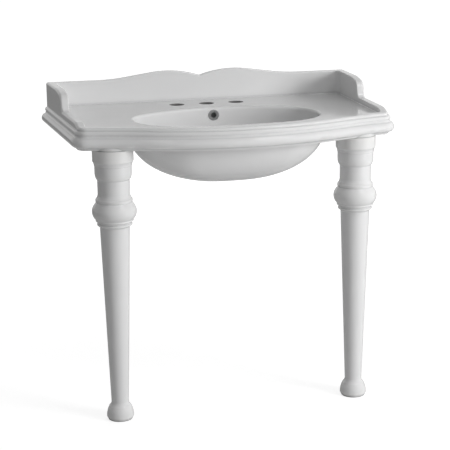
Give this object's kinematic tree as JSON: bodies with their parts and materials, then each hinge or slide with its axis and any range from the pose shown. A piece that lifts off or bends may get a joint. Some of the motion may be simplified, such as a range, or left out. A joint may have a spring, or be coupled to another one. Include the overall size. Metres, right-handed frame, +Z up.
{
  "type": "console sink",
  "caption": "Wall-hung console basin with an oval bowl, low backsplash and side wings, carried in front on two turned legs.",
  "frame": {"origin": "on the floor, in the middle of the overall width and depth", "axes": "+X along the width, to the right as seen from the front; +Y towards the wall; +Z up"},
  "size_m": [0.9, 0.56, 0.86],
  "materials": {
    "white_glaze": "gloss",
    "chrome": "polished",
    "zinc_steel": "satin",
    "grey_rubber": "matt",
    "white_plastic": "satin"
  },
  "bodies": {
    "root": {"basin": "white_glaze", "left_leg": "white_glaze", "right_leg": "white_glaze", "left_leg_gasket": "grey_rubber", "right_leg_gasket": "grey_rubber", "left_foot_pad": "grey_rubber", "right_foot_pad": "grey_rubber", "tie_soft_washers": "grey_rubber", "left_anchor_bar": "zinc_steel", "right_anchor_bar": "zinc_steel", "tie_rods": "zinc_steel", "tie_nuts": "zinc_steel", "tie_steel_washers": "zinc_steel", "wing_nuts": "zinc_steel", "wall_washers": "zinc_steel", "wall_nuts": "zinc_steel", "wall_bushes": "white_plastic", "nut_caps": "white_plastic", "overflow_sleeve": "white_plastic", "overflow_ring": "chrome"}
  },
  "joints": []
}
